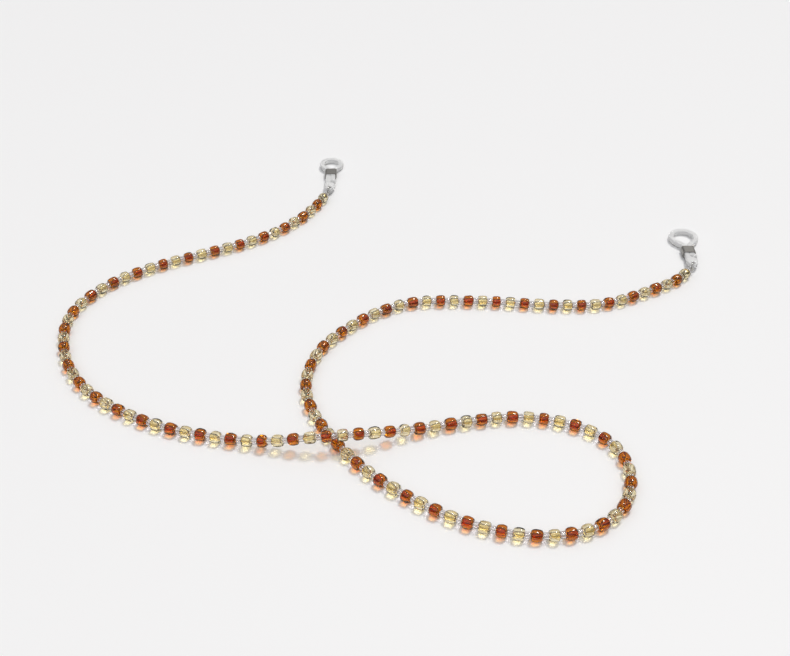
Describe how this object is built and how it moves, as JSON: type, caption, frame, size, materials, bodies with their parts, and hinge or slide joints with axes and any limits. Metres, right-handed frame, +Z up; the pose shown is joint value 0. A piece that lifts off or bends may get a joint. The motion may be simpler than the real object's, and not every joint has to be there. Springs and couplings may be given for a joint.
{
  "type": "eyeglass retainer strap",
  "caption": "Beaded cord that hangs glasses from the neck: amber, champagne and clear glass beads on a thread, with an adjustable silicone temple loop at each end.",
  "frame": {"origin": "on the surface the strap lies on, under the middle of its box", "axes": "+X along the longest side of the laid-out strap, +Y towards the two temple loops, +Z up"},
  "size_m": [0.2324, 0.2093, 0.0083],
  "materials": {
    "nylon_thread": "clear monofilament",
    "plated_crimp": "bright plated",
    "ring_steel": "tumbled",
    "sleeve_steel": "satin",
    "clear_silicone": "translucent moulded",
    "champagne_glass": "transparent pressed, silver-lined tint",
    "amber_glass": "transparent streaked",
    "clear_glass": "clear fire-polished"
  },
  "bodies": {
    "strand": {"beading_thread": "nylon_thread", "left_crimp_tube": "plated_crimp", "right_crimp_tube": "plated_crimp", "champagne_beads_01": "champagne_glass", "champagne_beads_02": "champagne_glass", "champagne_beads_03": "champagne_glass", "champagne_beads_04": "champagne_glass", "champagne_beads_05": "champagne_glass", "champagne_beads_06": "champagne_glass", "champagne_beads_07": "champagne_glass", "champagne_beads_08": "champagne_glass", "champagne_beads_09": "champagne_glass", "champagne_beads_10": "champagne_glass", "champagne_beads_11": "champagne_glass", "champagne_beads_12": "champagne_glass", "amber_beads_01": "amber_glass", "amber_beads_02": "amber_glass", "amber_beads_03": "amber_glass", "amber_beads_04": "amber_glass", "amber_beads_05": "amber_glass", "amber_beads_06": "amber_glass", "amber_beads_07": "amber_glass", "amber_beads_08": "amber_glass", "amber_beads_09": "amber_glass", "amber_beads_10": "amber_glass", "amber_beads_11": "amber_glass", "amber_beads_12": "amber_glass", "clear_spacers_01": "clear_glass", "clear_spacers_02": "clear_glass", "clear_spacers_03": "clear_glass", "clear_spacers_04": "clear_glass", "clear_spacers_05": "clear_glass", "clear_spacers_06": "clear_glass", "clear_spacers_07": "clear_glass", "clear_spacers_08": "clear_glass", "clear_spacers_09": "clear_glass", "clear_spacers_10": "clear_glass", "clear_spacers_11": "clear_glass", "clear_spacers_12": "clear_glass"},
    "left_ring": {"left_jump_ring": "ring_steel"},
    "left_loop": {"left_silicone_loop": "clear_silicone"},
    "left_sleeve": {"left_loop_sleeve": "sleeve_steel"},
    "left_end_spacer_body": {"left_end_spacer": "clear_glass"},
    "left_champagne_bead_body": {"left_champagne_bead": "champagne_glass"},
    "left_second_spacer_body": {"left_second_spacer": "clear_glass"},
    "left_amber_bead_body": {"left_amber_bead": "amber_glass"},
    "right_ring": {"right_jump_ring": "ring_steel"},
    "right_loop": {"right_silicone_loop": "clear_silicone"},
    "right_sleeve": {"right_loop_sleeve": "sleeve_steel"},
    "right_end_spacer_body": {"right_end_spacer": "clear_glass"},
    "right_champagne_bead_body": {"right_champagne_bead": "champagne_glass"},
    "right_second_spacer_body": {"right_second_spacer": "clear_glass"},
    "right_amber_bead_body": {"right_amber_bead": "amber_glass"}
  },
  "joints": [
    {"name": "left_ring_swing", "type": "hinge", "parent": "strand", "child": "left_ring", "pos_m": [-0.0272, 0.0768, 0.002], "axis": [0, 0, 1], "range_deg": [-89, 61]},
    {"name": "left_loop_lift", "type": "hinge", "parent": "left_ring", "child": "left_loop", "pos_m": [-0.02691, 0.07842, 0.002], "axis": [0.9848, -0.1736, 0], "range_deg": [0, 100]},
    {"name": "left_sleeve_slide", "type": "slide", "parent": "left_loop", "child": "left_sleeve", "axis": [0, 0.9991, -0.0419], "range_m": [-0.003, 0]},
    {"name": "left_end_spacer_spin", "type": "hinge", "parent": "strand", "child": "left_end_spacer_body", "pos_m": [-0.02797, 0.07506, 0.002], "axis": [0.4067, 0.9135, 0], "continuous": true},
    {"name": "left_champagne_bead_spin", "type": "hinge", "parent": "strand", "child": "left_champagne_bead_body", "pos_m": [-0.02895, 0.07287, 0.002], "axis": [0.4067, 0.9135, 0], "continuous": true},
    {"name": "left_second_spacer_spin", "type": "hinge", "parent": "strand", "child": "left_second_spacer_body", "pos_m": [-0.02993, 0.07068, 0.002], "axis": [0.4067, 0.9135, 0], "continuous": true},
    {"name": "left_amber_bead_spin", "type": "hinge", "parent": "strand", "child": "left_amber_bead_body", "pos_m": [-0.03096, 0.06835, 0.002], "axis": [0.4067, 0.9135, 0], "continuous": true},
    {"name": "right_ring_swing", "type": "hinge", "parent": "strand", "child": "right_ring", "pos_m": [0.1094, 0.0246, 0.002], "axis": [0, 0, 1], "range_deg": [-98, 52]},
    {"name": "right_loop_lift", "type": "hinge", "parent": "right_ring", "child": "right_loop", "pos_m": [0.11004, 0.02612, 0.002], "axis": [0.9205, -0.3907, 0], "range_deg": [0, 100]},
    {"name": "right_sleeve_slide", "type": "slide", "parent": "right_loop", "child": "right_sleeve", "axis": [0, 0.999, -0.0436], "range_m": [0, 0.0011]},
    {"name": "right_end_spacer_spin", "type": "hinge", "parent": "strand", "child": "right_end_spacer_body", "pos_m": [0.10803, 0.02328, 0.002], "axis": [0.7193, 0.6947, 0], "continuous": true},
    {"name": "right_champagne_bead_spin", "type": "hinge", "parent": "strand", "child": "right_champagne_bead_body", "pos_m": [0.10631, 0.02161, 0.002], "axis": [0.7193, 0.6947, 0], "continuous": true},
    {"name": "right_second_spacer_spin", "type": "hinge", "parent": "strand", "child": "right_second_spacer_body", "pos_m": [0.10458, 0.01995, 0.002], "axis": [0.7193, 0.6947, 0], "continuous": true},
    {"name": "right_amber_bead_spin", "type": "hinge", "parent": "strand", "child": "right_amber_bead_body", "pos_m": [0.10278, 0.01821, 0.002], "axis": [0.7193, 0.6947, 0], "continuous": true}
  ]
}
